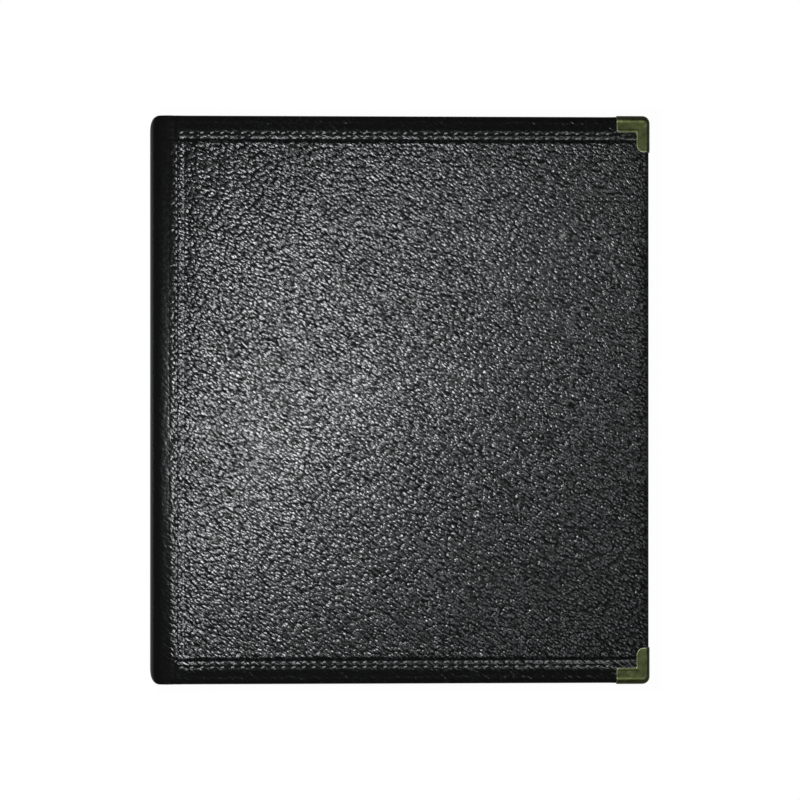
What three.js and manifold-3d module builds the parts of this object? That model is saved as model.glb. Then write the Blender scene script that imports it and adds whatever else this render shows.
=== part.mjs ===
// A leather music folder, closed and lying on its back cover.
// X runs from the spine (-X) to the fore edge, Y from tail to head, Z up.
// Millimetres. The origin is under the middle of the closed folder.

import * as THREE from 'three';
import { mergeVertices } from 'three/addons/utils/BufferGeometryUtils.js';
import Module from 'manifold-3d';

const wasm = await Module();
wasm.setup();

// Covers
const coverHeight = 354.3;
const coverWidth = 296.5;
const foreCornerRadius = 4;
const edgeRoll = 4.5;
const edgeRollHeight = 2.1;

// Layers of one cover
const leather = 0.9;
const skivedLeather = 0.6;
const boardThickness = 2;
const liningThickness = 0.4;
const turnIn = 12;
const glueLine = 0.05;
const fit = 0.3;

// Padded panel and the sewn-down border round it
const panelRise = 0.7;
const borderWidth = 15;
const foreBorder = 4.8;
const hingeBorder = 7;
const panelShoulder = 1.2;
const panelCornerRadius = 3;

// Seams
const seamInset = 10;
const seamGauge = 3.2;
const hingeSeam = 0.8;
const hingeSeamGauge = 4.4;
const seamWidth = 0.8;
const seamDepth = 0.25;

// Spine
const spineRoll = 15.4;
const spineCornerRadius = 6;
const stiffenerThickness = 0.8;
const spineLining = 0.4;
const spineMargin = 5;
const hingeGap = 0.4;

// Metal corners
const cornerSheet = 0.5;
const cornerGap = 0.15;
const cornerLeg = 22.2;
const cornerArm = 9.2;
const cornerEndRadius = 5;
const cornerTipRadius = 1.8;
const cornerClearance = 0.5;

// Pockets
const pocketHeight = 140;
const pocketDepth = 4.6;
const pocketMargin = 14;
const pocketHingeMargin = 8;
const pocketPanel = 0.8;
const pocketCornerRadius = 6;
const pocketHem = 9;
const pocketHemRise = 0.3;
const gussetThickness = 0.5;
const gussetFlange = 3;
const gussetFold = 6;
const pocketGap = 0.4;

// Fineness of the round stretches
const cornerSteps = 5;
const rollSteps = 4;
const spineSteps = 9;

// Levels of the back cover, measured up from the face it lies on
const boardBottom = panelRise + leather + glueLine;
const boardTop = boardBottom + boardThickness;
const innerFace = boardTop + glueLine;
const coverThickness = innerFace + skivedLeather;
const liningTop = innerFace + liningThickness;
const pocketPanelBottom = liningTop + pocketDepth;
const pocketPanelTop = pocketPanelBottom + pocketPanel;
const closedThickness = 2 * (pocketPanelTop + pocketHemRise) + pocketGap;

// Places that follow from the sizes above
const halfHeight = coverHeight / 2;
const rollLevel = panelRise + edgeRollHeight;
const innerRound = coverThickness - rollLevel;
const cornerReach = cornerSheet + cornerGap;
const spineHalf = closedThickness / 2 - panelRise;
const centreShift = (spineRoll - coverWidth - cornerReach) / 2;
const far = 20;
const joinOverlap = 0.5;

// Hinge line, where the roll of the spine starts to turn with the spine.
// The roll lies flat when the folder lies open, so its quarter arc fixes the pivot.
const arcLength = quarterEllipse(spineRoll, spineHalf);
const openShiftX = arcLength - spineRoll;
const pivotX = -spineRoll + (spineHalf - openShiftX) / 2;
const pivotZ = closedThickness / 2 - (spineHalf + openShiftX) / 2;
const hingeAngle = Math.atan2(-pivotX / spineRoll, (closedThickness / 2 - pivotZ) / spineHalf);
const hingeGapAngle = hingeGap / 2 / Math.hypot(pivotX, closedThickness / 2 - pivotZ);

function quarterEllipse(a, b) {
  const h = ((a - b) / (a + b)) ** 2;
  return (Math.PI / 4) * (a + b) * (1 + (3 * h) / (10 + Math.sqrt(4 - 3 * h)));
}

// Solids and meshes

function closedGeometry(geometry) {
  const plain = geometry.clone();
  plain.deleteAttribute('normal');
  plain.deleteAttribute('uv');
  return mergeVertices(plain, 1e-4);
}

function toSolid(geometry) {
  const closed = closedGeometry(geometry);
  return new wasm.Manifold(new wasm.Mesh({
    numProp: 3,
    vertProperties: new Float32Array(closed.getAttribute('position').array),
    triVerts: new Uint32Array(closed.getIndex().array),
  }));
}

function toGeometry(solid) {
  const mesh = solid.getMesh();
  const geometry = new THREE.BufferGeometry();
  geometry.setAttribute('position', new THREE.BufferAttribute(mesh.vertProperties, 3));
  geometry.setIndex(new THREE.BufferAttribute(mesh.triVerts, 1));
  return geometry;
}

// The front cover is the back cover seen in a mirror half way up the closed folder.
function mirrored(geometry) {
  const copy = closedGeometry(geometry);
  const position = copy.getAttribute('position');
  for (let i = 0; i < position.count; i++) {
    position.setZ(i, closedThickness - position.getZ(i));
  }
  const corners = copy.getIndex().array;
  for (let i = 0; i < corners.length; i += 3) {
    [corners[i + 1], corners[i + 2]] = [corners[i + 2], corners[i + 1]];
  }
  return copy;
}

// A closed solid through a stack of outlines, lowest first, with equal numbers of points.
function stack(levels) {
  const count = levels[0].outline.length;
  const positions = levels.flatMap(({ outline, z }) => outline.flatMap((p) => [p.x, p.y, z]));
  const index = [];
  for (let level = 0; level < levels.length - 1; level++) {
    for (let i = 0; i < count; i++) {
      const a = level * count + i;
      const b = level * count + ((i + 1) % count);
      index.push(a, b, b + count, a, b + count, a + count);
    }
  }
  const top = (levels.length - 1) * count;
  for (const [a, b, c] of THREE.ShapeUtils.triangulateShape(levels[0].outline, [])) {
    index.push(a, c, b);
    index.push(top + a, top + b, top + c);
  }
  const geometry = new THREE.BufferGeometry();
  geometry.setAttribute('position', new THREE.Float32BufferAttribute(positions, 3));
  geometry.setIndex(index);
  return geometry;
}

// A section drawn in X and Z and carried along Y between two places.
function alongY(points, from, to) {
  const shape = new THREE.Shape(points);
  const geometry = new THREE.ExtrudeGeometry(shape, { depth: to - from, bevelEnabled: false });
  return geometry.rotateX(Math.PI / 2).translate(0, to, 0);
}

// A section drawn in Y and Z and carried along X between two places.
function alongX(points, from, to) {
  const turned = points.map((p) => new THREE.Vector2(-p.x, p.y));
  return alongY(turned, from, to).rotateZ(-Math.PI / 2);
}

function box(left, right, bottom, top, low, high) {
  const geometry = new THREE.BoxGeometry(right - left, top - bottom, high - low);
  return geometry.translate((left + right) / 2, (bottom + top) / 2, (low + high) / 2);
}

// Outlines

function arc(centreX, centreY, radius, start) {
  const points = [];
  for (let i = 0; i <= cornerSteps; i++) {
    const angle = start + (i / cornerSteps) * (Math.PI / 2);
    points.push(new THREE.Vector2(
      centreX + radius * Math.cos(angle),
      centreY + radius * Math.sin(angle),
    ));
  }
  return points;
}

function corner(x, y, radius, start) {
  if (radius === 0) return [new THREE.Vector2(x, y)];
  const towardX = Math.cos(start) + Math.cos(start + Math.PI / 2);
  const towardY = Math.sin(start) + Math.sin(start + Math.PI / 2);
  return arc(x - radius * Math.sign(towardX), y - radius * Math.sign(towardY), radius, start);
}

function plan(left, right, bottom, top, leftRadius, rightRadius) {
  return [
    ...corner(left, bottom, leftRadius, Math.PI),
    ...corner(right, bottom, rightRadius, -Math.PI / 2),
    ...corner(right, top, rightRadius, 0),
    ...corner(left, top, leftRadius, Math.PI / 2),
  ];
}

function coverPlan(inset, left) {
  const radius = Math.max(foreCornerRadius - inset, foreCornerRadius / 8);
  return plan(left, coverWidth - inset, inset - halfHeight, halfHeight - inset, 0, radius);
}

// Levels where a cover layer turns up round the outer edge, grown by an offset.
function outerRoll(grown, left) {
  const levels = [];
  for (let i = 0; i <= rollSteps; i++) {
    const angle = (i / rollSteps) * (Math.PI / 2);
    const inset = edgeRoll - (edgeRoll + grown) * Math.sin(angle);
    const z = rollLevel - (edgeRollHeight + grown) * Math.cos(angle);
    levels.push({ outline: coverPlan(inset, left), z });
  }
  return levels;
}

// The whole cover with both its rolled edges, grown by an offset.
function coverForm(grown, left) {
  const levels = outerRoll(grown, left);
  for (let i = 1; i <= rollSteps; i++) {
    const angle = (i / rollSteps) * (Math.PI / 2);
    const inset = innerRound - (innerRound + grown) * Math.cos(angle);
    levels.push({ outline: coverPlan(inset, left), z: rollLevel + (innerRound + grown) * Math.sin(angle) });
  }
  return toSolid(stack(levels));
}

// A layer under the leather, flat on its inner face.
function innerLayer(shrunk, left, top) {
  const levels = outerRoll(-shrunk, left);
  levels.push({ outline: coverPlan(shrunk, left), z: top });
  return toSolid(stack(levels));
}

// Plan of one metal corner as an upright block, at the head (1) or the tail (-1).
function cornerBlock(end, margin) {
  const x = coverWidth + cornerReach;
  const y = halfHeight + cornerReach;
  const leg = cornerLeg + margin;
  const arm = cornerArm + margin;
  const outline = [
    new THREE.Vector2(x - leg, y + far),
    ...arc(x - leg + cornerTipRadius, y - arm + cornerTipRadius, cornerTipRadius, Math.PI),
    new THREE.Vector2(x - arm, y - arm),
    ...arc(x - arm + cornerEndRadius, y - leg + cornerEndRadius, cornerEndRadius, Math.PI),
    new THREE.Vector2(x + far, y - leg),
    new THREE.Vector2(x + far, y + far),
  ];
  const placed = outline.map((p) => new THREE.Vector2(p.x, end * p.y));
  if (end < 0) placed.reverse();
  return toSolid(stack([{ outline: placed, z: -far }, { outline: placed, z: far }]));
}

// The raised panel or the pad and room under it, cut back round the metal corners.
function panelForm(inset, low, high, shoulder) {
  const outline = (step) => plan(
    hingeBorder + inset + step,
    coverWidth - foreBorder - inset - step,
    -halfHeight + borderWidth + inset + step,
    halfHeight - borderWidth - inset - step,
    panelCornerRadius,
    panelCornerRadius,
  );
  const levels = [{ outline: outline(0), z: high }];
  if (shoulder > 0) {
    levels.unshift({ outline: outline(shoulder / 4), z: low + panelRise / 2 });
  }
  levels.unshift({ outline: outline(shoulder), z: low });
  const margin = cornerClearance + inset;
  return toSolid(stack(levels)).subtract(cornerBlock(1, margin)).subtract(cornerBlock(-1, margin));
}

// Pieces of one cover

function spineBand(outerDepth, thickness, from, to) {
  const points = [];
  for (const [depth, start, end] of [[outerDepth + thickness, from, to], [outerDepth, to, from]]) {
    for (let i = 0; i <= spineSteps; i++) {
      const angle = start + (i / spineSteps) * (end - start);
      points.push(new THREE.Vector2(
        -(spineRoll - depth) * Math.sin(angle),
        closedThickness / 2 - (spineHalf - depth) * Math.cos(angle),
      ));
    }
  }
  return points.reverse();
}

// The ends of the spine are rounded in plan.
function roundedSpine(section, endInset) {
  const outline = plan(
    -spineRoll,
    joinOverlap * 2,
    endInset - halfHeight,
    halfHeight - endInset,
    spineCornerRadius,
    0,
  );
  const band = toSolid(alongY(section, -halfHeight, halfHeight));
  const ends = stack([{ outline, z: -far }, { outline, z: closedThickness + far }]);
  return band.intersect(toSolid(ends));
}

function seamGrooves() {
  const low = panelRise - far;
  const high = panelRise + seamDepth;
  const grooves = [];
  for (const end of [-1, 1]) {
    for (const row of [0, 1]) {
      const y = end * (halfHeight - seamInset - row * seamGauge);
      const stop = coverWidth - cornerLeg;
      grooves.push(box(hingeSeam, stop, y - seamWidth / 2, y + seamWidth / 2, low, high));
    }
  }
  const reach = halfHeight - borderWidth;
  for (const column of [0, 1]) {
    const x = hingeSeam + column * hingeSeamGauge;
    grooves.push(box(x - seamWidth / 2, x + seamWidth / 2, -reach, reach, low, high));
  }
  return grooves.map(toSolid);
}

function coverLeather() {
  const roomTop = boardBottom;
  const padInset = panelShoulder + leather / 2;
  let skin = coverForm(0, -joinOverlap);
  skin = skin.add(panelForm(0, 0, rollLevel, panelShoulder));
  skin = skin.subtract(innerLayer(leather, -far, innerFace));
  skin = skin.subtract(panelForm(padInset, leather, roomTop, 0));
  const windowHalf = halfHeight - turnIn;
  skin = skin.subtract(toSolid(
    box(-far, coverWidth - turnIn, -windowHalf, windowHalf, boardTop, coverThickness + far),
  ));
  for (const groove of seamGrooves()) {
    skin = skin.subtract(groove);
  }
  const strip = spineBand(0, leather, 0, hingeAngle - hingeGapAngle);
  return toGeometry(skin.add(roundedSpine(strip, 0)));
}

function coverPadding() {
  const inset = panelShoulder + leather / 2 + fit;
  return toGeometry(panelForm(inset, leather + glueLine, panelRise + leather - glueLine, 0));
}

function coverBoard() {
  return toGeometry(innerLayer(leather + glueLine, fit + liningThickness + glueLine, boardTop));
}

// The lining turns down over the hinge edge of the board.
function coverLining() {
  const left = fit;
  const right = coverWidth - turnIn - fit;
  const low = panelRise + leather + glueLine;
  const section = [
    new THREE.Vector2(left, low),
    new THREE.Vector2(left + liningThickness, low),
    new THREE.Vector2(left + liningThickness, innerFace),
    new THREE.Vector2(right, innerFace),
    new THREE.Vector2(right, liningTop),
    new THREE.Vector2(left, liningTop),
  ];
  const reach = halfHeight - turnIn - fit;
  return alongY(section, -reach, reach);
}

// A pressed sheet-metal corner that grips the cover on both faces.
function metalCorner(end) {
  const shell = coverForm(cornerReach, 0).subtract(coverForm(cornerGap, -joinOverlap));
  return toGeometry(shell.intersect(cornerBlock(end, 0)));
}

// Pocket, open at the head

const pocketLeft = pocketHingeMargin;
const pocketRight = coverWidth - pocketMargin;
const pocketTail = pocketMargin - halfHeight;
const pocketHead = pocketTail + pocketHeight;

function pocketFront() {
  const outline = [
    new THREE.Vector2(pocketLeft, pocketTail),
    new THREE.Vector2(pocketRight, pocketTail),
    ...corner(pocketRight, pocketHead, pocketCornerRadius, 0),
    ...corner(pocketLeft, pocketHead, pocketCornerRadius, Math.PI / 2),
  ];
  const sheet = toSolid(stack([
    { outline, z: pocketPanelBottom },
    { outline, z: pocketPanelTop },
  ]));
  const hemLow = pocketHead - pocketCornerRadius - pocketHem;
  const hem = box(
    pocketLeft,
    pocketRight,
    hemLow,
    pocketHead - pocketCornerRadius,
    pocketPanelBottom,
    pocketPanelTop + pocketHemRise,
  );
  return toGeometry(sheet.add(toSolid(hem)));
}

// A strip folded inwards along its middle, with a sewn flange on each side.
// x grows into the pocket from the sewn edge.
function gussetSection() {
  const low = liningTop + glueLine;
  const high = pocketPanelBottom - glueLine;
  const middle = (low + high) / 2;
  const tip = gussetFlange + gussetFold;
  const tipInside = tip - (gussetThickness * gussetFold) / (middle - low);
  return [
    new THREE.Vector2(0, low),
    new THREE.Vector2(gussetFlange, low),
    new THREE.Vector2(tip, middle),
    new THREE.Vector2(gussetFlange, high),
    new THREE.Vector2(0, high),
    new THREE.Vector2(0, high - gussetThickness),
    new THREE.Vector2(gussetFlange, high - gussetThickness),
    new THREE.Vector2(tipInside, middle),
    new THREE.Vector2(gussetFlange, low + gussetThickness),
    new THREE.Vector2(0, low + gussetThickness),
  ];
}

function sideGusset(edge, inward) {
  const section = gussetSection().map((p) => new THREE.Vector2(edge + inward * p.x, p.y));
  return alongY(section, pocketTail, pocketHead - pocketCornerRadius);
}

function tailGusset() {
  const section = gussetSection().map((p) => new THREE.Vector2(pocketTail + p.x, p.y));
  const reach = gussetFlange + gussetFold + fit;
  return alongX(section, pocketLeft + reach, pocketRight - reach);
}

// Spine

function spineLayer(depth, thickness, endInset) {
  const from = hingeAngle + hingeGapAngle;
  return toGeometry(roundedSpine(spineBand(depth, thickness, from, Math.PI - from), endInset));
}

// Finishes

const finish = (color, roughness, metalness = 0) => ({ color, roughness, metalness });
const blackLeather = finish(0x15161a, 0.42);
const foam = finish(0xcfc8b4, 0.95);
const greyBoard = finish(0x857f74, 0.9);
const blackLining = finish(0x1a1a1c, 0.7);
const pocketVinyl = finish(0x18191c, 0.5);
const antiqueBrass = finish(0x77754a, 0.38, 1);

function piece(name, geometry, look) {
  const shown = closedGeometry(geometry);
  shown.computeVertexNormals();
  const mesh = new THREE.Mesh(shown, new THREE.MeshStandardMaterial(look));
  mesh.name = name;
  return mesh;
}

// Assembly

const coverPieces = [
  ['leather', coverLeather(), blackLeather],
  ['padding', coverPadding(), foam],
  ['board', coverBoard(), greyBoard],
  ['lining', coverLining(), blackLining],
  ['head_corner', metalCorner(1), antiqueBrass],
  ['tail_corner', metalCorner(-1), antiqueBrass],
  ['pocket_panel', pocketFront(), pocketVinyl],
  ['pocket_tail_gusset', tailGusset(), pocketVinyl],
  ['pocket_fore_gusset', sideGusset(pocketRight, -1), pocketVinyl],
  ['pocket_hinge_gusset', sideGusset(pocketLeft, 1), pocketVinyl],
];

const backCover = new THREE.Group();
const frontCover = new THREE.Group();
for (const [name, geometry, look] of coverPieces) {
  backCover.add(piece(`back_${name}`, geometry, look));
  frontCover.add(piece(`front_${name}`, mirrored(geometry), look));
}

const stiffenerDepth = leather + glueLine;
const spineLiningDepth = stiffenerDepth + stiffenerThickness + glueLine;
const spine = new THREE.Group();
spine.add(
  piece('spine_leather', spineLayer(0, leather, 0), blackLeather),
  piece('spine_stiffener', spineLayer(stiffenerDepth, stiffenerThickness, spineMargin), greyBoard),
  piece('spine_lining', spineLayer(spineLiningDepth, spineLining, spineMargin), blackLining),
);

const folder = new THREE.Group();
folder.add(backCover, spine, frontCover);
folder.position.x = centreShift;

export default folder;
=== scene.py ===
import math

import bmesh
import bpy
import numpy as np
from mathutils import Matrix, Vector

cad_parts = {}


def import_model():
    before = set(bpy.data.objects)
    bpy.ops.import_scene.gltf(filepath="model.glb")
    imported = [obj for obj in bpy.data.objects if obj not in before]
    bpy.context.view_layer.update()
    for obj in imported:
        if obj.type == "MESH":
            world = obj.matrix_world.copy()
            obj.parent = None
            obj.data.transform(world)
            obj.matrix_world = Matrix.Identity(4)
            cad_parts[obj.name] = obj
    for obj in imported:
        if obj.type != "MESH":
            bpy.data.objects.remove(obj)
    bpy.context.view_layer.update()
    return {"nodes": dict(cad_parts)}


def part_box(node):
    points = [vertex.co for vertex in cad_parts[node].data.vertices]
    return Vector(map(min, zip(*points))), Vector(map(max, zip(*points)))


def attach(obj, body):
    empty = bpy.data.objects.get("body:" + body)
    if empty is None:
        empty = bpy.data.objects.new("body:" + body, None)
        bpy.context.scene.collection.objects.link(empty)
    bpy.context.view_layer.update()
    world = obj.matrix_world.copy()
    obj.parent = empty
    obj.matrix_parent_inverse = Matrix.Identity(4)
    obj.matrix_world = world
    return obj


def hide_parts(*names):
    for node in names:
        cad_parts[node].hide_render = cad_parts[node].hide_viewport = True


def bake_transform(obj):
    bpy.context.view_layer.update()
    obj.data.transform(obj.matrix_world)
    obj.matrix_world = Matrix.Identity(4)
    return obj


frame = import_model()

MM = 0.001

# Overall sizes, all but two of them read from the frame
leather_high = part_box("front_leather")[1]
CLOSED = leather_high[2]
HALF_HEIGHT = leather_high[1]
HINGE_GAP = 0.3 * MM
HINGE_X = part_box("front_lining")[0][0] - HINGE_GAP
WIDTH = leather_high[0] - HINGE_X
SPINE_DEPTH = HINGE_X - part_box("spine_leather")[0][0]
COVER_THICKNESS = 4.3 * MM

# Leather cover
PANEL_RISE = 0.7 * MM
BORDER = 15.6 * MM
BORDER_FALL = 0.75 * MM
HINGE_FALL = 0.6 * MM
HINGE_BORDER = 6.2 * MM
FORE_BORDER = 4.2 * MM
EDGE_ROLL = 4.5 * MM
EDGE_DROP = 2.1 * MM
FORE_RADIUS = 4 * MM
SPINE_RADIUS = 6 * MM
TURN_IN = 12 * MM
SKIN = 0.6 * MM
SEAM_ROWS = (10.8 * MM, 13.8 * MM)
HINGE_ROWS = (1.6 * MM, 5.9 * MM)
STITCH_PITCH = 6.33 * MM
HINGE_PITCH = 4.1 * MM
SEAM_THREAD = 0.52 * MM
SEAM_STITCH = 0.44 * STITCH_PITCH
HINGE_STITCH = 0.6 * HINGE_PITCH
HINGE_STITCH_SINK = 0.26 * MM

# Metal corners
CORNER_REACH = 0.65 * MM
CORNER_LEG = 20.9 * MM
CORNER_RISE = 22.9 * MM
CORNER_ARM = 9.2 * MM
CORNER_SHEET = 0.5 * MM
CORNER_END = 5 * MM
CORNER_TIP = 1.8 * MM

# Pockets
POCKET_FACE = 9.47 * MM
POCKET_HEM = 13 * MM
POCKET_ROUND = 6 * MM
POCKET_SEAM = 2.6 * MM
POCKET_PITCH = 3.6 * MM
POCKET_THREAD = 0.27 * MM

# The spine's section is half an ellipse. Angle 0 is at the cover, 90 degrees at mid spine.
SPINE_HALF = CLOSED / 2 - PANEL_RISE


def smooth(value, low, high):
    """0 below low, 1 above high and a smooth step between them."""
    t = np.clip((value - low) / (high - low), 0, 1)
    return t * t * (3 - 2 * t)


def bell(value, width):
    """1 at zero, falling to nothing a few widths away."""
    return np.exp(-((value / width) ** 2))


def waves(x, y, seed, scale, count=9):
    """A smooth random field of about unit size, with features about scale long."""
    draw = np.random.default_rng(seed)
    total = np.zeros(np.broadcast(x, y).shape)
    for _ in range(count):
        angle, phase = draw.uniform(0, 2 * math.pi, 2)
        rate = 2 * math.pi / scale * draw.uniform(0.6, 1.5)
        total += np.sin(rate * (x * math.cos(angle) + y * math.sin(angle)) + phase)
    return total / math.sqrt(count / 2)


def place(side, x, y, depth):
    """A point by its distance from the hinge line, its Y and its depth under the outer face."""
    return (HINGE_X + x, y, depth if side == "back" else CLOSED - depth)


def spine_point(angle, inward=0.0):
    """Distance from the hinge line and depth of a point on the spine's section."""
    x = -(SPINE_DEPTH - inward) * np.sin(angle)
    depth = CLOSED / 2 - (SPINE_HALF - inward) * np.cos(angle)
    return x, depth


# Meshes


def make(name, points, faces, side="front"):
    """A mesh object from points and faces, the faces turned over on the mirrored back cover."""
    if side == "back":
        faces = [tuple(reversed(face)) for face in faces]
    mesh = bpy.data.meshes.new(name)
    mesh.from_pydata([tuple(map(float, p)) for p in points], [], faces)
    mesh.update()
    piece = bpy.data.objects.new(name, mesh)
    bpy.context.scene.collection.objects.link(piece)
    return piece


def apply_all(piece, crease=35):
    """Applies the modifiers and shades smooth but for edges sharper than crease degrees."""
    evaluated = piece.evaluated_get(bpy.context.evaluated_depsgraph_get())
    mesh = bpy.data.meshes.new_from_object(evaluated)
    piece.modifiers.clear()
    piece.data = mesh
    mesh.shade_smooth()
    mesh.set_sharp_from_angle(angle=math.radians(crease))


def thicken(piece, thickness, crease=35):
    shell = piece.modifiers.new("thickness", "SOLIDIFY")
    shell.thickness = thickness
    shell.offset = -1
    shell.use_even_offset = True
    apply_all(piece, crease)


def grid_faces(columns, rows):
    """Faces of a grid of points listed column by column."""
    return [
        (a, a + rows, a + rows + 1, a + 1)
        for a in (i * rows + j for i in range(columns - 1) for j in range(rows - 1))
    ]


def spaced(stops):
    """Coordinates through the given stops, each stretch cut into steps of its own size."""
    values = [stops[0][0]]
    for (low, step), (high, _) in zip(stops, stops[1:]):
        count = max(1, round((high - low) / step))
        values += [low + (high - low) * k / count for k in range(1, count + 1)]
    return np.array(values)


# Leather of a cover, with half of the spine


def outer_height(x, y):
    """How far the leather stands above the border's level: panel, falls, groove and seams."""
    x, y = np.broadcast_arrays(x, y)
    from_end = HALF_HEIGHT - np.abs(y)
    from_fore = WIDTH - x

    # Padded panel, left out under the metal corner's upright arm
    panel = smooth(from_end, BORDER - 0.2 * MM, BORDER + 1.5 * MM)
    panel = panel * smooth(x, HINGE_BORDER, HINGE_BORDER + 9 * MM)
    panel = panel * smooth(from_fore, FORE_BORDER - 1.5 * MM, FORE_BORDER + 3 * MM)
    arm = CORNER_ARM - CORNER_REACH
    under_metal = (1 - smooth(from_fore, arm + 0.3 * MM, arm + 2 * MM)) * (
        1 - smooth(from_end, CORNER_RISE, CORNER_RISE + 2 * MM)
    )
    panel = panel * (1 - under_metal)
    height = PANEL_RISE * panel

    # Fall of the hinge strip to the spine and of the border to the head and tail
    height = height - HINGE_FALL * (1 - smooth(x, 0, 3 * MM)) * smooth(x, -12 * MM, -4 * MM)
    on_cover = smooth(x, -1 * MM, 1 * MM)
    calm = on_cover * (1 - under_metal)
    fall = 1 - smooth(from_end, EDGE_ROLL - 1 * MM, SEAM_ROWS[0] - 0.5 * MM)
    fall = fall * smooth(from_fore, CORNER_LEG, CORNER_LEG + 4 * MM)
    fall = fall * smooth(x, -2 * MM, 9 * MM)
    height = height - BORDER_FALL * fall

    # Uneven padding and leather
    height = height + 0.05 * MM * calm * waves(x, y, 3, 60 * MM) * panel
    height = height + 0.03 * MM * calm * waves(x * 1.6 + y * 0.9, y * 0.5, 8, 14 * MM)

    # Groove outside the panel's edge and the bead along it
    height = height - 0.3 * MM * bell(from_end - (BORDER - 0.4 * MM), 0.5 * MM) * on_cover
    height = height + 0.16 * MM * bell(from_end - (BORDER + 1.5 * MM), 0.8 * MM) * panel

    # Head and tail seams, drawn in at each stitch
    sewn = smooth(x, 0, 3 * MM) * (1 - smooth(x, WIDTH - CORNER_LEG, WIDTH - CORNER_LEG + 2 * MM))
    pull = 0.5 + 0.5 * np.cos(2 * math.pi * (x - HINGE_ROWS[0]) / STITCH_PITCH)
    for row in SEAM_ROWS:
        height = height - (0.1 + 0.12 * pull) * MM * bell(from_end - row, 0.95 * MM) * sewn
    between = sum(SEAM_ROWS) / 2
    height = height + 0.05 * MM * bell(from_end - between, 0.6 * MM) * sewn

    # Hinge seams
    sewn = smooth(from_end, BORDER - 2 * MM, BORDER)
    pull = 0.5 + 0.5 * np.cos(2 * math.pi * y / HINGE_PITCH)
    for column in HINGE_ROWS:
        height = height - (0.14 + 0.12 * pull) * MM * bell(x - column, 0.8 * MM) * sewn
    return height


def end_cut(x):
    """How far the rounded corners of the spine cut into its head and tail."""
    into = np.clip(SPINE_RADIUS - (x + SPINE_DEPTH), 0, SPINE_RADIUS)
    return SPINE_RADIUS - np.sqrt(SPINE_RADIUS**2 - into**2)


def toward_corner(along, limit, inset):
    """Carries a side of a ring round to the middle of its rounded fore corner."""
    reach = 12 * MM
    start = limit - EDGE_ROLL - reach
    if along <= start:
        return along, 0.0
    radius = max(FORE_RADIUS - inset, 0.5 * MM)
    straight = limit - inset - radius - start
    path = (along - start) / reach * (straight + radius * math.pi / 4)
    if path <= straight:
        return start + path, 0.0
    turn = (path - straight) / radius
    return limit - inset - radius + radius * math.sin(turn), radius * (1 - math.cos(turn))


def edge_rings():
    """Inset and drop of each ring of the rolled edge, from the border to the turned-in margin."""
    steps = 7
    rings = []
    for k in range(1, steps + 1):
        angle = k / steps * math.pi / 2
        rings.append((EDGE_ROLL * (1 - math.sin(angle)), EDGE_DROP * (1 - math.cos(angle))))
    inner = COVER_THICKNESS - PANEL_RISE - EDGE_DROP
    for k in range(1, 5):
        angle = k / 4 * math.pi / 2
        rings.append((inner * (1 - math.cos(angle)), EDGE_DROP + inner * math.sin(angle)))
    full = COVER_THICKNESS - PANEL_RISE
    rings += [(inset, full) for inset in (4 * MM, 8 * MM, TURN_IN)]
    return rings


def section(x, angle, height):
    """Carries a height above the border level to its place on the cover or round the spine."""
    if angle is None:
        return x, PANEL_RISE - height
    base_x, depth = spine_point(angle)
    normal = Vector((math.sin(angle) / SPINE_DEPTH, math.cos(angle) / SPINE_HALF)).normalized()
    return base_x - normal.x * height, depth - normal.y * height


def cover_leather(side):
    """A cover's leather with half of the spine's, rolled over the edges and turned in."""
    name = f"{side}_cover_leather"
    angles = [math.pi / 2 * (1 - k / 26) for k in range(26)]
    flat = spaced([(0, 0.55 * MM), (8 * MM, 1.7 * MM), (WIDTH - EDGE_ROLL, 0)])
    columns = [(spine_point(angle)[0], angle) for angle in angles] + [(x, None) for x in flat]
    end = HALF_HEIGHT - EDGE_ROLL
    fine = HALF_HEIGHT - BORDER - 3 * MM
    rows = spaced([(-end, 0.75 * MM), (-fine, 2.3 * MM), (fine, 0.75 * MM), (end, 0)])
    xs = np.array([column[0] for column in columns])
    heights = outer_height(xs[:, None], rows[None, :])
    thin = smooth(xs, -4 * MM, 1 * MM) * 0.62 + 0.38
    points = []
    for i, (x, angle) in enumerate(columns):
        squeeze = 1 - end_cut(x) / HALF_HEIGHT
        for j, y in enumerate(rows):
            across, depth = section(x, angle, heights[i, j])
            points.append(place(side, across, y * squeeze, depth))
    count_x, count_y = len(columns), len(rows)
    faces = grid_faces(count_x, count_y)
    edge = [(i, 0) for i in range(count_x)]
    edge += [(count_x - 1, j) for j in range(1, count_y)]
    edge += [(i, count_y - 1) for i in range(count_x - 2, -1, -1)]
    previous = [i * count_y + j for i, j in edge]
    full = COVER_THICKNESS - PANEL_RISE
    for inset, drop in edge_rings():
        ring = []
        fade = inset / EDGE_ROLL if drop < EDGE_DROP else 0
        sink = min(1, (full - drop) / (full - EDGE_DROP))
        for i, j in edge:
            x, angle = columns[i]
            last = i == count_x - 1
            if last and 0 < j < count_y - 1:
                along, extra = toward_corner(abs(rows[j]), HALF_HEIGHT, inset)
                across, y = WIDTH - inset - extra, math.copysign(along, rows[j])
            else:
                along, extra = toward_corner(x, WIDTH, inset)
                across = along
                y = math.copysign(HALF_HEIGHT - inset - extra, rows[j])
                y *= 1 - end_cut(x) / HALF_HEIGHT
            height = heights[i, j]
            height = height * (fade if height > 0 else sink) - drop * thin[i]
            if angle is None:
                depth = PANEL_RISE - height
            else:
                across, depth = section(x, angle, height)
            ring.append(len(points))
            points.append(place(side, across, y, depth))
        faces += [
            (previous[k], ring[k], ring[k + 1], previous[k + 1]) for k in range(len(ring) - 1)
        ]
        previous = ring
    piece = make(name, points, faces, side)
    thicken(piece, SKIN, 60)
    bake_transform(piece)
    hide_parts(f"{side}_leather", "spine_leather")
    return piece


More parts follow.
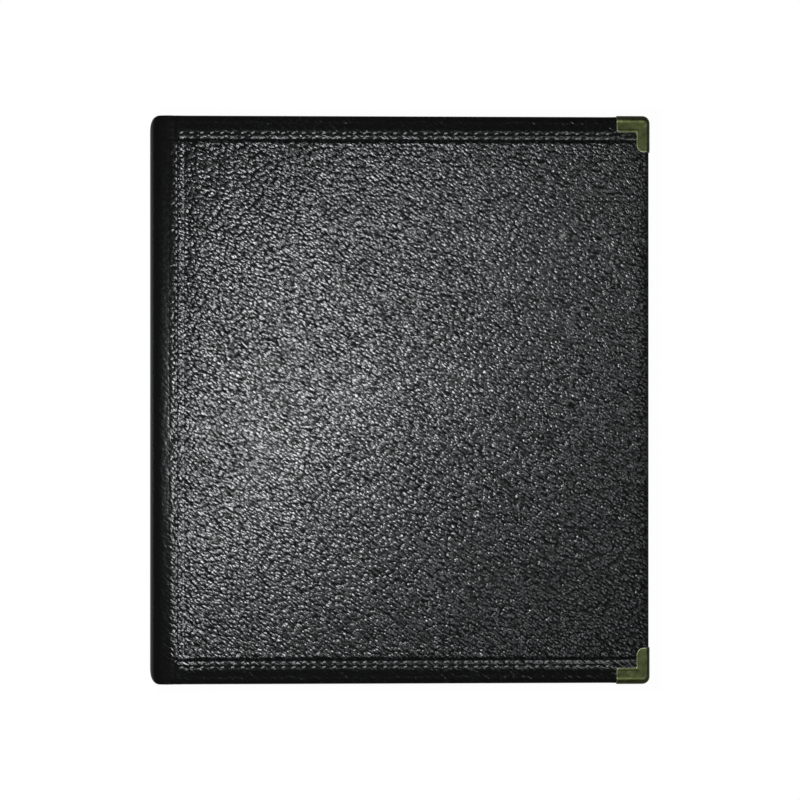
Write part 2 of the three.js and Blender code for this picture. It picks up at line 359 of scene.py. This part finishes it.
def hinge_lining(side):
    """Cloth that lines the hinge and half of the spine."""
    columns, rows = 40, 60
    reach = HALF_HEIGHT - 5 * MM
    points = []
    for i in range(columns):
        angle = math.pi / 2 * (1 - i / (columns - 1)) + 0.02 * (i / (columns - 1))
        inward = (1.05 + 0.8 * float(smooth(angle, 0.2, 0.9))) * MM
        x, depth = spine_point(angle, inward)
        cut = float(end_cut(x))
        for j in range(rows):
            y = (reach - cut) * (2 * j / (rows - 1) - 1)
            points.append(place(side, x, y, depth))
    piece = make(f"{side}_hinge_lining", points, grid_faces(columns, rows), side)
    thicken(piece, 0.35 * MM)
    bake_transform(piece)
    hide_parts("spine_lining")
    return piece


def spine_board():
    """The narrow stiffener between the leather and the lining of the spine."""
    columns, rows = 16, 24
    reach = HALF_HEIGHT - 12 * MM
    points = []
    for i in range(columns):
        angle = math.radians(68 + 44 * i / (columns - 1))
        x, depth = spine_point(angle, 0.95 * MM)
        points += [
            place("back", x, reach * (2 * j / (rows - 1) - 1), depth) for j in range(rows)
        ]
    piece = make("spine_board", points, grid_faces(columns, rows), "front")
    thicken(piece, 0.7 * MM)
    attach(piece, "spine")
    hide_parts("spine_stiffener")
    return piece


# Sewing


def sewing(name, stitches, radius):
    """One mesh of many short stitches, each an arch of thread whose ends go into the leather."""
    sides, rings = 7, 7
    points, faces = [], []
    for centre, along, up, length in stitches:
        centre, along, up = Vector(centre), Vector(along), Vector(up)
        side = along.cross(up)
        base = len(points)
        for k in range(rings):
            t = 2 * k / (rings - 1) - 1
            lift = radius * (1.15 * (1 - abs(t) ** 3) - 0.85)
            size = radius * (1 - 0.45 * t**4)
            for m in range(sides):
                turn = 2 * math.pi * m / sides
                out = side * (math.cos(turn) * size) + up * (math.sin(turn) * size * 0.8 + lift)
                points.append(centre + along * (t * length / 2) + out)
        for k in range(rings - 1):
            for m in range(sides):
                a, b = base + k * sides + m, base + k * sides + (m + 1) % sides
                faces.append((a, b, b + sides, a + sides))
        faces.append(tuple(base + m for m in reversed(range(sides))))
        faces.append(tuple(base + (rings - 1) * sides + m for m in range(sides)))
    piece = make(name, points, faces)
    tidy_normals(piece)
    apply_all(piece, 60)
    return piece


def tidy_normals(piece):
    work = bmesh.new()
    work.from_mesh(piece.data)
    bmesh.ops.recalc_face_normals(work, faces=work.faces)
    work.to_mesh(piece.data)
    work.free()


def cover_sewing(side):
    """Two rows of stitches along the head and tail borders and two down the hinge strip."""
    up = (0, 0, 1) if side == "front" else (0, 0, -1)
    stitches = []
    draw = np.random.default_rng(11)
    last = WIDTH - CORNER_LEG + 1 * MM
    for end in (-1, 1):
        for row in SEAM_ROWS:
            x = HINGE_ROWS[0] + STITCH_PITCH / 2
            while x < last:
                y = end * (HALF_HEIGHT - row)
                height = float(outer_height(np.array(x), np.array(y)))
                lean = draw.uniform(0.22, 0.5)
                along = Vector((1, lean, 0)).normalized()
                centre = place(side, x, y, PANEL_RISE - height)
                stitches.append((centre, along, up, SEAM_STITCH))
                x += STITCH_PITCH
    count = int((HALF_HEIGHT - BORDER) / HINGE_PITCH)
    for column in HINGE_ROWS:
        for k in range(-count, count):
            y = (k + 0.5) * HINGE_PITCH
            height = float(outer_height(np.array(column), np.array(y)))
            along = Vector((draw.uniform(0.02, 0.08), 1, 0)).normalized()
            centre = place(side, column, y, PANEL_RISE - height + HINGE_STITCH_SINK)
            stitches.append((centre, along, up, HINGE_STITCH))
    piece = sewing(f"{side}_cover_sewing", stitches, SEAM_THREAD)
    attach(piece, f"{side}_cover")
    return piece


# Metal corners


def metal_corner(side, end):
    """A sheet corner pressed round the cover's edge, with turned-down rims."""
    name = f"{side}_{'head' if end > 0 else 'tail'}_corner"
    roll = 2.3 * MM
    face = -CORNER_REACH
    rim = 0.9 * MM
    raised_edge, low_middle = 0.04 * MM, 0.12 * MM
    arms_across = (0.92, 1.15)

    # The sheet's section as inset from the edge and depth: turned-down inner rim, face, roll
    # over the edge, wall and inner flange
    profile = []
    for inset in (CORNER_ARM, CORNER_ARM - 0.25 * MM, CORNER_ARM - 0.55 * MM, CORNER_ARM - rim):
        lower = ((inset - CORNER_ARM + rim) / rim) ** 2 * 0.28 * MM
        profile.append((inset, face + lower))
    profile.append((8 * MM, face))
    profile += [(inset * MM, face + low_middle) for inset in (7.6, 7, 6.4, 5.8, 5.2, 4.6, 4, 3.6)]
    profile += [(3.1 * MM, face), (2.7 * MM, face - raised_edge)]
    deep = EDGE_DROP + CORNER_REACH
    for k in range(0, 9):
        angle = k / 8 * math.pi / 2
        inset = roll * (1 - math.sin(angle) ** 1.6)
        profile.append((inset, face + deep * (1 - math.cos(angle) ** 1.6)))
    under = COVER_THICKNESS - PANEL_RISE - EDGE_DROP
    for k in range(1, 7):
        angle = k / 6 * math.pi / 2
        inset = (under + CORNER_REACH) * (1 - math.cos(angle))
        profile.append((inset, EDGE_DROP + (under + CORNER_REACH) * math.sin(angle)))
    bottom = profile[-1][1]
    profile += [(inset * MM, bottom) for inset in (3.2, 4.2, 5, 5.8, 6.6, 7.4, 8.2)]
    profile.append((CORNER_ARM, bottom - 0.15 * MM))
    arc_steps, arm_steps = 8, 14
    outer = FORE_RADIUS + CORNER_REACH
    corner_x = WIDTH + CORNER_REACH
    corner_y = HALF_HEIGHT + CORNER_REACH
    points = []
    for inset, drop in profile:
        radius = max(outer - inset, 0.35 * MM)
        cut_x = end_round(inset, CORNER_TIP)
        cut_y = end_round(inset, CORNER_END)
        from_fore, from_end = inset * arms_across[0], inset * arms_across[1]
        line = []
        for k in range(arm_steps):
            far = CORNER_LEG - cut_x
            along = far + (from_fore + radius - far) * k / arm_steps
            line.append((along, from_end))
        for k in range(arc_steps + 1):
            turn = k / arc_steps * math.pi / 2
            line.append((
                from_fore + radius * (1 - math.sin(turn)),
                from_end + radius * (1 - math.cos(turn)),
            ))
        for k in range(1, arm_steps + 1):
            far = CORNER_RISE - cut_y
            line.append((from_fore, from_end + radius + (far - from_end - radius) * k / arm_steps))
        for a, b in line:
            depth = PANEL_RISE + drop
            points.append(place(side, corner_x - a, end * (corner_y - b), depth))
    length = arm_steps * 2 + arc_steps + 1
    piece = make(name, points, grid_faces(len(profile), length), side)
    if end > 0:
        piece.data.flip_normals()
    thicken(piece, CORNER_SHEET, 50)
    rims = piece.modifiers.new("rims", "BEVEL")
    rims.width = 0.13 * MM
    rims.segments = 2
    rims.limit_method = "ANGLE"
    rims.angle_limit = math.radians(50)
    apply_all(piece, 60)
    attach(piece, f"{side}_cover")
    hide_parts(name)
    piece.name = f"{name}_plate"
    return piece


def end_round(inset, radius):
    """How much shorter a metal arm is at this inset, for its rounded inner tip."""
    into = min(max(inset - (CORNER_ARM - radius), 0), radius)
    return radius - math.sqrt(radius**2 - into**2)


# Pockets


def pocket_sewing(side, left, right, tail, head):
    """Rows of stitches round the pocket's front and under its hem."""
    up = (0, 0, -1) if side == "front" else (0, 0, 1)
    depth = POCKET_FACE - 0.12 * MM
    length = POCKET_PITCH * 0.74
    under_hem = head - POCKET_HEM + 1.5 * MM
    rows = ((tail + POCKET_SEAM, 0), (under_hem, 0.25 * MM), (head - POCKET_SEAM, 0.3 * MM))
    stitches = []
    for y, lift in rows:
        count = int((right - left - 14 * MM) / POCKET_PITCH)
        for k in range(count):
            x = (left + right) / 2 + (k - (count - 1) / 2) * POCKET_PITCH
            stitches.append((place(side, x, y, depth + lift), (1, 0, 0), up, length))
    for x in (left + POCKET_SEAM, right - POCKET_SEAM):
        count = int((head - tail - 20 * MM) / POCKET_PITCH)
        for k in range(count):
            y = tail + 4 * MM + k * POCKET_PITCH
            stitches.append((place(side, x, y, depth), (0, 1, 0), up, length))
    return sewing(f"{side}_pocket_sewing", stitches, POCKET_THREAD)


def pocket_front(side):
    """The pocket's sewn front, with a folded hem along its open head."""
    low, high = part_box(f"{side}_pocket_panel")
    left, right = low[0] - HINGE_X, high[0] - HINGE_X
    tail, head = low[1], high[1]
    fine, coarse, margin = 0.7 * MM, 2.6 * MM, 5 * MM
    fold = head - POCKET_HEM
    xs = spaced([(left, fine), (left + margin, coarse), (right - margin, fine), (right, 0)])
    ys = spaced([(tail, fine), (tail + margin, coarse), (fold - 3 * MM, fine), (head, 0)])
    points = []
    for x in xs:
        near = min(x - left, right - x)
        into = max(POCKET_ROUND - near, 0)
        cut = POCKET_ROUND - math.sqrt(POCKET_ROUND**2 - into**2)
        for y in ys:
            share = (y - tail) / (head - tail)
            lowered = y - cut * float(smooth(share, 0.9, 1))
            edge = min(near, y - tail, head - y)
            rise = 0.3 * MM * float(smooth(y, fold, fold + 1 * MM))
            rise -= 0.22 * MM * float(bell(edge - POCKET_SEAM, 0.8 * MM))
            rise -= 0.35 * MM * (1 - float(smooth(edge, 0, 1.2 * MM)))
            rise += 0.06 * MM * float(waves(np.array(x), np.array(y), 21, 45 * MM))
            points.append(place(side, x, lowered, POCKET_FACE + rise))
    faces = grid_faces(len(xs), len(ys))
    piece = make(f"{side}_pocket_front", points, faces, "back" if side == "front" else "front")
    thicken(piece, 0.6 * MM, 50)
    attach(piece, f"{side}_cover")
    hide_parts(f"{side}_pocket_panel")
    thread = pocket_sewing(side, left, right, tail, head)
    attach(thread, f"{side}_cover")
    return piece, thread


# Materials


class Nodes:
    """Short calls for building a node tree."""

    def __init__(self, name):
        self.material = bpy.data.materials.new(name)
        self.material.use_nodes = True
        self.tree = self.material.node_tree
        self.shader = self.tree.nodes["Principled BSDF"]
        self.object = self.new("ShaderNodeTexCoord").outputs["Object"]

    def new(self, kind, inputs=(), **settings):
        made = self.tree.nodes.new(kind)
        for key, value in settings.items():
            setattr(made, key, value)
        for key, value in dict(inputs).items():
            self.put(value, made.inputs[key])
        return made

    def put(self, value, socket):
        if isinstance(value, bpy.types.NodeSocket):
            self.tree.links.new(value, socket)
        else:
            socket.default_value = value

    def mapped(self, scale, rotation=(0, 0, 0), vector=None):
        """The object's or the given coordinates, turned and scaled."""
        node = self.new("ShaderNodeMapping", {
            "Vector": vector or self.object, "Scale": scale, "Rotation": rotation,
        })
        return node.outputs["Vector"]

    def noise(self, vector, scale, detail=3.0, rough=0.5):
        node = self.new("ShaderNodeTexNoise", {
            "Vector": vector, "Scale": scale, "Detail": detail, "Roughness": rough,
        })
        return node.outputs["Fac"]

    def voronoi(self, vector, scale):
        """Distance to the middle of the nearest cell."""
        node = self.new("ShaderNodeTexVoronoi", {"Vector": vector, "Scale": scale}, feature="F1")
        return node.outputs["Distance"]

    def math(self, operation, a, b=0.0):
        node = self.new("ShaderNodeMath", {0: a, 1: b}, operation=operation)
        return node.outputs[0]

    def remap(self, value, low, high, to_low, to_high):
        node = self.new("ShaderNodeMapRange", {
            "Value": value, "From Min": low, "From Max": high, "To Min": to_low, "To Max": to_high,
        })
        return node.outputs["Result"]

    def ramp(self, value, *stops):
        node = self.new("ShaderNodeValToRGB", {"Fac": value})
        elements = node.color_ramp.elements
        while len(elements) < len(stops):
            elements.new(0.5)
        for element, (position, colour) in zip(elements, stops):
            element.position = position
            element.color = (*colour, 1)
        return node.outputs["Color"]

    def warped(self, vector, scale, amount):
        offset = self.new("ShaderNodeTexNoise", {"Vector": vector, "Scale": scale, "Detail": 2.0})
        middle = (0.5, 0.5, 0.5)
        centred = self.vector_math("SUBTRACT", {0: offset.outputs["Color"], 1: middle})
        scaled = self.vector_math("SCALE", {0: centred, "Scale": amount})
        return self.vector_math("ADD", {0: vector, 1: scaled})

    def vector_math(self, operation, inputs):
        return self.new("ShaderNodeVectorMath", inputs, operation=operation).outputs[0]

    def bump(self, height, distance, strength):
        inputs = {"Height": height, "Distance": distance, "Strength": strength}
        return self.new("ShaderNodeBump", inputs).outputs["Normal"]

    def finish(self, **sockets):
        for key, value in sockets.items():
            self.put(value, self.shader.inputs[key.replace("_", " ")])
        return self.material


def leather(name, cell, dark, light, gloss, depth, outer=False):
    """Pebble-grained leather: domed cells, creases between them and long drawn wrinkles, each
    pebble's top lightened by a painted highlight.
    """
    n = Nodes(name)
    grain = n.warped(n.mapped((1 / cell,) * 3), 0.4, 0.9)
    turned = n.mapped((1, 1, 1), (0, 0, math.radians(40)), grain)
    drawn = n.mapped((0.66, 1.2, 1), (0, 0, 0), turned)
    far = n.voronoi(drawn, 1.0)
    near = n.voronoi(drawn, 1.7)
    cells = n.math("SUBTRACT", 1.0, n.math("MULTIPLY", far, far))
    small = n.math("SUBTRACT", 1.0, n.math("MULTIPLY", near, near))
    creased = n.noise(n.mapped((0.16, 0.8, 1.0), (0, 0, 0), turned), 1.0, 1.0)
    wrinkles = n.remap(n.math("ABSOLUTE", n.math("SUBTRACT", creased, 0.5)), 0.0, 0.06, 0.0, 1.0)
    patches = n.noise(n.object, 16.0, 2.0)
    height = n.math("ADD", n.math("MULTIPLY", cells, 0.9), n.math("MULTIPLY", small, 0.1))
    height = n.math("ADD", height, n.math("MULTIPLY", wrinkles, 0.2))
    height = n.math("ADD", height, n.math("MULTIPLY", n.noise(grain, 3.0, 2.0), 0.02))
    height = n.math("MULTIPLY", height, n.remap(patches, 0.3, 0.7, 0.8, 1.15))
    # Painted highlight: the top of each pebble is coloured lighter, as a glint of the lamp
    painted_glints = n.remap(cells, 0.78, 1.0, 0.0, 1.0)
    if outer:
        place_on = n.new("ShaderNodeSeparateXYZ", {"Vector": n.object}).outputs
        end = n.math("ABSOLUTE", place_on[1])
        panel_end = HALF_HEIGHT - BORDER
        on_panel = n.remap(end, panel_end - MM, panel_end + MM, 1.0, 0.0)
        on_cover = n.remap(place_on[0], HINGE_X - 3 * MM, HINGE_X + 2 * MM, 0.0, 1.0)
        height = n.math("MULTIPLY", height, n.remap(on_panel, 0.0, 1.0, 0.3, 1.0))
        height = n.math("MULTIPLY", height, n.remap(on_cover, 0.0, 1.0, 0.15, 1.0))
        # Painted shade: the painted glints are dimmed on the border and left off the spine, where the
        # leather falls away from the lamp
        painted_glints = n.math("MULTIPLY", painted_glints, n.remap(on_panel, 0.0, 1.0, 0.25, 1.0))
        painted_glints = n.math("MULTIPLY", painted_glints, on_cover)
    # Strength of the painted glints, varied at random; light is the painted glint colour, dark the
    # leather's own black
    shade = n.math("MULTIPLY", painted_glints, n.remap(patches, 0.3, 0.7, 0.6, 1.0))
    colour = n.ramp(shade, (0.1, dark), (0.9, light))
    roughness = n.remap(cells, 0.6, 1.0, gloss + 0.06, gloss)
    normal = n.bump(height, depth, 1.0)
    return n.finish(Base_Color=colour, Roughness=roughness, Normal=normal)


def brass(name):
    """Old brass: darker in random blotches, with a painted highlight along the rims."""
    n = Nodes(name)
    # Painted highlight: the rims, found by the Bevel node, are coloured pale as if catching the lamp
    edge = n.new("ShaderNodeBevel", {"Radius": 0.8 * MM}, samples=4).outputs["Normal"]
    plain = n.new("ShaderNodeNewGeometry").outputs["Normal"]
    dot = n.new("ShaderNodeVectorMath", {0: edge, 1: plain}, operation="DOT_PRODUCT")
    match = dot.outputs["Value"]
    painted_rim_highlight = n.remap(match, 0.995, 0.9, 0.0, 1.0)
    blotches = n.noise(n.object, 260.0, 5.0, 0.65)
    specks = n.noise(n.object, 1500.0, 3.0, 0.7)
    tone = n.math("ADD", n.math("MULTIPLY", blotches, 0.8), n.math("MULTIPLY", painted_rim_highlight, 0.7))
    hollow = (0.05, 0.055, 0.022)
    face = (0.125, 0.145, 0.055)
    painted_highlight_colour = (0.72, 0.72, 0.55)
    colour = n.ramp(tone, (0.2, hollow), (0.5, face), (0.95, painted_highlight_colour))
    roughness = n.remap(specks, 0.3, 0.7, 0.3, 0.5)
    normal = n.bump(specks, 0.03 * MM, 0.5)
    return n.finish(Base_Color=colour, Roughness=roughness, Normal=normal, Metallic=0.9)


def cloth(name, thread, dark, light, roughness):
    """Plain weave seen as crossing ribs."""
    n = Nodes(name)
    flat = n.warped(n.object, 60.0, 0.15 * MM)
    apart = n.new("ShaderNodeSeparateXYZ", {"Vector": flat})
    rate = math.pi / thread
    waves_across = [n.math("SINE", n.math("MULTIPLY", apart.outputs[k], rate)) for k in (0, 1)]
    ribs = [n.math("ABSOLUTE", wave) for wave in waves_across]
    weave = n.math("MULTIPLY", ribs[0], ribs[1])
    worn = n.noise(n.object, 45.0, 4.0)
    shade = n.math("MULTIPLY", weave, n.remap(worn, 0.3, 0.7, 0.7, 1.0))
    colour = n.ramp(shade, (0.05, dark), (0.9, light))
    normal = n.bump(weave, 0.12 * MM, 0.6)
    return n.finish(Base_Color=colour, Normal=normal, Roughness=roughness, Sheen_Weight=0.25)


def fibre(name, dark, light, scale):
    """Pressed fibres, as in board or felt."""
    n = Nodes(name)
    flecks = n.noise(n.mapped((1, 0.4, 1)), scale, 6.0, 0.7)
    colour = n.ramp(flecks, (0.3, dark), (0.7, light))
    return n.finish(Base_Color=colour, Roughness=0.92, Normal=n.bump(flecks, 0.1 * MM, 0.5))


def thread_look(name):
    """Waxed twisted black thread, its strands striped with a painted highlight."""
    n = Nodes(name)
    twist = n.mapped((1.0, 1.0, 1.0), (0, 0, math.radians(45)))
    strands = n.new("ShaderNodeTexWave", {"Vector": twist, "Scale": 700.0, "Distortion": 1.0})
    wave = strands.outputs["Fac"]
    # Painted highlight: the light stripes stand for glints on the black thread
    colour = n.ramp(wave, (0.2, (0.06, 0.061, 0.063)), (0.8, (0.36, 0.364, 0.37)))
    return n.finish(Base_Color=colour, Roughness=0.3, Normal=n.bump(wave, 0.12 * MM, 0.7))


def wear(piece, material):
    """Gives a piece of the scene its finish."""
    piece.data.materials.clear()
    piece.data.materials.append(material)


def dress_node(node, material):
    """Gives a carried-over solid its finish."""
    for material_slot in frame["nodes"][node].material_slots:
        material_slot.material = material


# Stage


def light(name, place_at, aim, size, power):
    """A soft rectangular lamp aimed at a point."""
    data = bpy.data.lights.new(name, "AREA")
    data.shape = "RECTANGLE"
    data.size, data.size_y = size
    data.energy = power
    data.color = (0.96, 0.99, 1.0)
    lamp = bpy.data.objects.new(name, data)
    lamp.location = place_at
    lamp.rotation_euler = (Vector(aim) - Vector(place_at)).to_track_quat("-Z", "Y").to_euler()
    bpy.context.scene.collection.objects.link(lamp)


def seen_directly(tree):
    """1 where the camera sees the background itself or through something clear.

    Glossy rays are left out, so leather and metal mirror the dim world, not the white.
    """
    path = tree.nodes.new("ShaderNodeLightPath")
    either = tree.nodes.new("ShaderNodeMath")
    either.operation = "MAXIMUM"
    tree.links.new(path.outputs["Is Camera Ray"], either.inputs[0])
    tree.links.new(path.outputs["Is Transmission Ray"], either.inputs[1])
    return either.outputs[0]


def floor():
    """A pale floor that the camera sees nearly white, with a faint shadow."""
    size = 4.0
    points = [(-size, -size, 0), (size, -size, 0), (size, size, 0), (-size, size, 0)]
    plane = make("floor", points, [(0, 1, 2, 3)])
    plane.location.z = -0.2 * MM
    material = bpy.data.materials.new("pale_floor")
    material.use_nodes = True
    tree = material.node_tree
    tree.nodes.clear()
    white_share = 0.88
    white_strength = 1.11
    pale = 0.42
    matt = tree.nodes.new("ShaderNodeBsdfDiffuse")
    matt.inputs["Color"].default_value = (pale, pale, pale, 1)
    white = tree.nodes.new("ShaderNodeEmission")
    white.inputs["Strength"].default_value = white_strength
    blend = tree.nodes.new("ShaderNodeMixShader")
    share = tree.nodes.new("ShaderNodeMath")
    share.operation = "MULTIPLY"
    share.inputs[1].default_value = white_share
    tree.links.new(seen_directly(tree), share.inputs[0])
    tree.links.new(share.outputs[0], blend.inputs["Fac"])
    tree.links.new(matt.outputs[0], blend.inputs[1])
    tree.links.new(white.outputs[0], blend.inputs[2])
    out = tree.nodes.new("ShaderNodeOutputMaterial")
    tree.links.new(blend.outputs[0], out.inputs["Surface"])
    wear(plane, material)


def world():
    """White behind everything, but only a soft level of light from it."""
    scene = bpy.context.scene
    scene.world = bpy.data.worlds.new("studio")
    scene.world.use_nodes = True
    tree = scene.world.node_tree
    background = tree.nodes["Background"]
    background.inputs["Color"].default_value = (1, 1, 1, 1)
    level = tree.nodes.new("ShaderNodeMapRange")
    soft_level = 0.07
    level.inputs["To Min"].default_value = soft_level
    level.inputs["To Max"].default_value = 1.0
    tree.links.new(seen_directly(tree), level.inputs["Value"])
    tree.links.new(level.outputs["Result"], background.inputs["Strength"])


def camera():
    """Looks down on the front cover, leaning a little towards the spine."""
    distance = 1.5
    frame_width = 0.4985
    lean = math.radians(1.8)
    centre = Vector((-0.2 * MM, 0, CLOSED))
    data = bpy.data.cameras.new("camera")
    data.lens = data.sensor_width * distance / frame_width
    view = bpy.data.objects.new("camera", data)
    view.location = centre + Vector((-math.sin(lean), 0, math.cos(lean))) * distance
    view.rotation_euler = (0, -lean, 0)
    bpy.context.scene.collection.objects.link(view)
    bpy.context.scene.camera = view


camera()
world()
floor()
light("key", (-0.115, 0.0, 0.38), (-0.08, 0, 0), (0.11, 0.2), 1.95)
light("fill", (0.4, 0.0, 1.0), (0.1, 0, 0), (0.24, 0.45), 1.6)

# light is the colour of the painted highlight on the pebble tops
cover_look = leather(
    "black_cover_leather", cell=2.05 * MM, dark=(0.002, 0.002, 0.002), light=(0.05, 0.052, 0.055),
    gloss=0.17, depth=0.68 * MM, outer=True,
)
pocket_look = leather(
    "black_pocket_leather", cell=1.3 * MM, dark=(0.009, 0.009, 0.01), light=(0.028, 0.028, 0.031),
    gloss=0.42, depth=0.3 * MM,
)
metal_look = brass("antique_brass")
lining_look = cloth("black_lining_cloth", 0.55 * MM, (0.008, 0.008, 0.009), (0.05, 0.05, 0.055), 0.75)
board_look = fibre("grey_board", (0.16, 0.14, 0.11), (0.3, 0.27, 0.22), 900.0)
felt_look = fibre("cream_felt", (0.5, 0.46, 0.36), (0.7, 0.66, 0.55), 600.0)
sewing_look = thread_look("black_thread")

for side in ("back", "front"):
    wear(cover_leather(side), cover_look)
    wear(hinge_lining(side), lining_look)
    wear(cover_sewing(side), sewing_look)
    for end in (-1, 1):
        wear(metal_corner(side, end), metal_look)
    panel, thread = pocket_front(side)
    wear(panel, pocket_look)
    wear(thread, sewing_look)
    dress_node(f"{side}_board", board_look)
    dress_node(f"{side}_padding", felt_look)
    dress_node(f"{side}_lining", lining_look)
    for strip in ("tail", "fore", "hinge"):
        dress_node(f"{side}_pocket_{strip}_gusset", pocket_look)
wear(spine_board(), board_look)

bpy.context.scene.view_settings.view_transform = "Standard"
